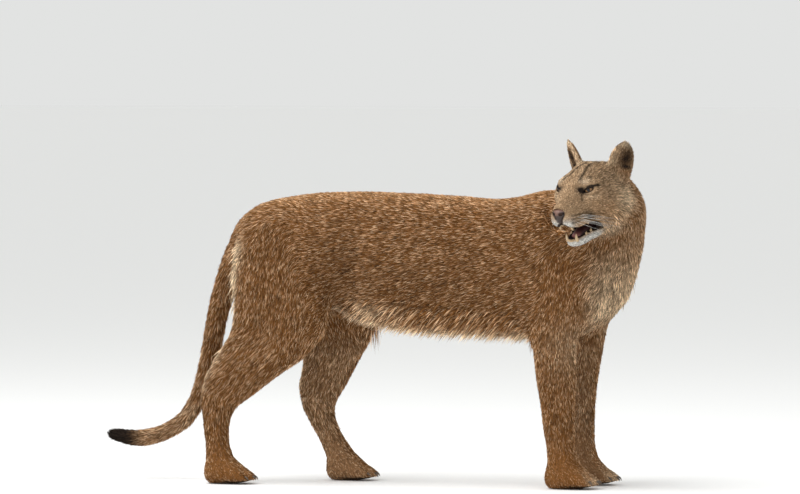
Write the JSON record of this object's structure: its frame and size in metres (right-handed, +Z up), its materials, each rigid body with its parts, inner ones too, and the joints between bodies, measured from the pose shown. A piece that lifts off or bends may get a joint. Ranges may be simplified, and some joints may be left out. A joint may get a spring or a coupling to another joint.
{
  "type": "cougar",
  "caption": "Life-size standing cougar, stretched out on four paws, looking back over its right shoulder with its mouth a little open.",
  "frame": {"origin": "middle of the bounding box's footprint, on the ground that the paws stand on", "axes": "+X the way the body faces, +Y the cat's left side, +Z up; the head is turned to -Y"},
  "size_m": [1.3402, 0.4502, 0.8149],
  "materials": {
    "coat": "short tawny fur, darker along the back and tail",
    "pale_coat": "short cream fur",
    "nose_leather": "moist, finely pebbled skin",
    "eye": "wet and glossy",
    "mouth": "wet"
  },
  "bodies": {
    "root": {"torso": "coat", "neck": "coat", "foreleg_right": "coat", "forepaw_right": "coat", "foreleg_left": "coat", "forepaw_left": "coat", "hindleg_right": "coat", "hindpaw_right": "coat", "hindleg_left": "coat", "hindpaw_left": "coat", "tail_base": "coat", "tail_middle": "coat", "tail_tip": "coat", "head": "coat", "lower_jaw": "pale_coat", "tongue": "mouth", "nose": "nose_leather", "eye_right": "eye", "ear_right": "coat", "eye_left": "eye", "ear_left": "coat"}
  },
  "joints": []
}
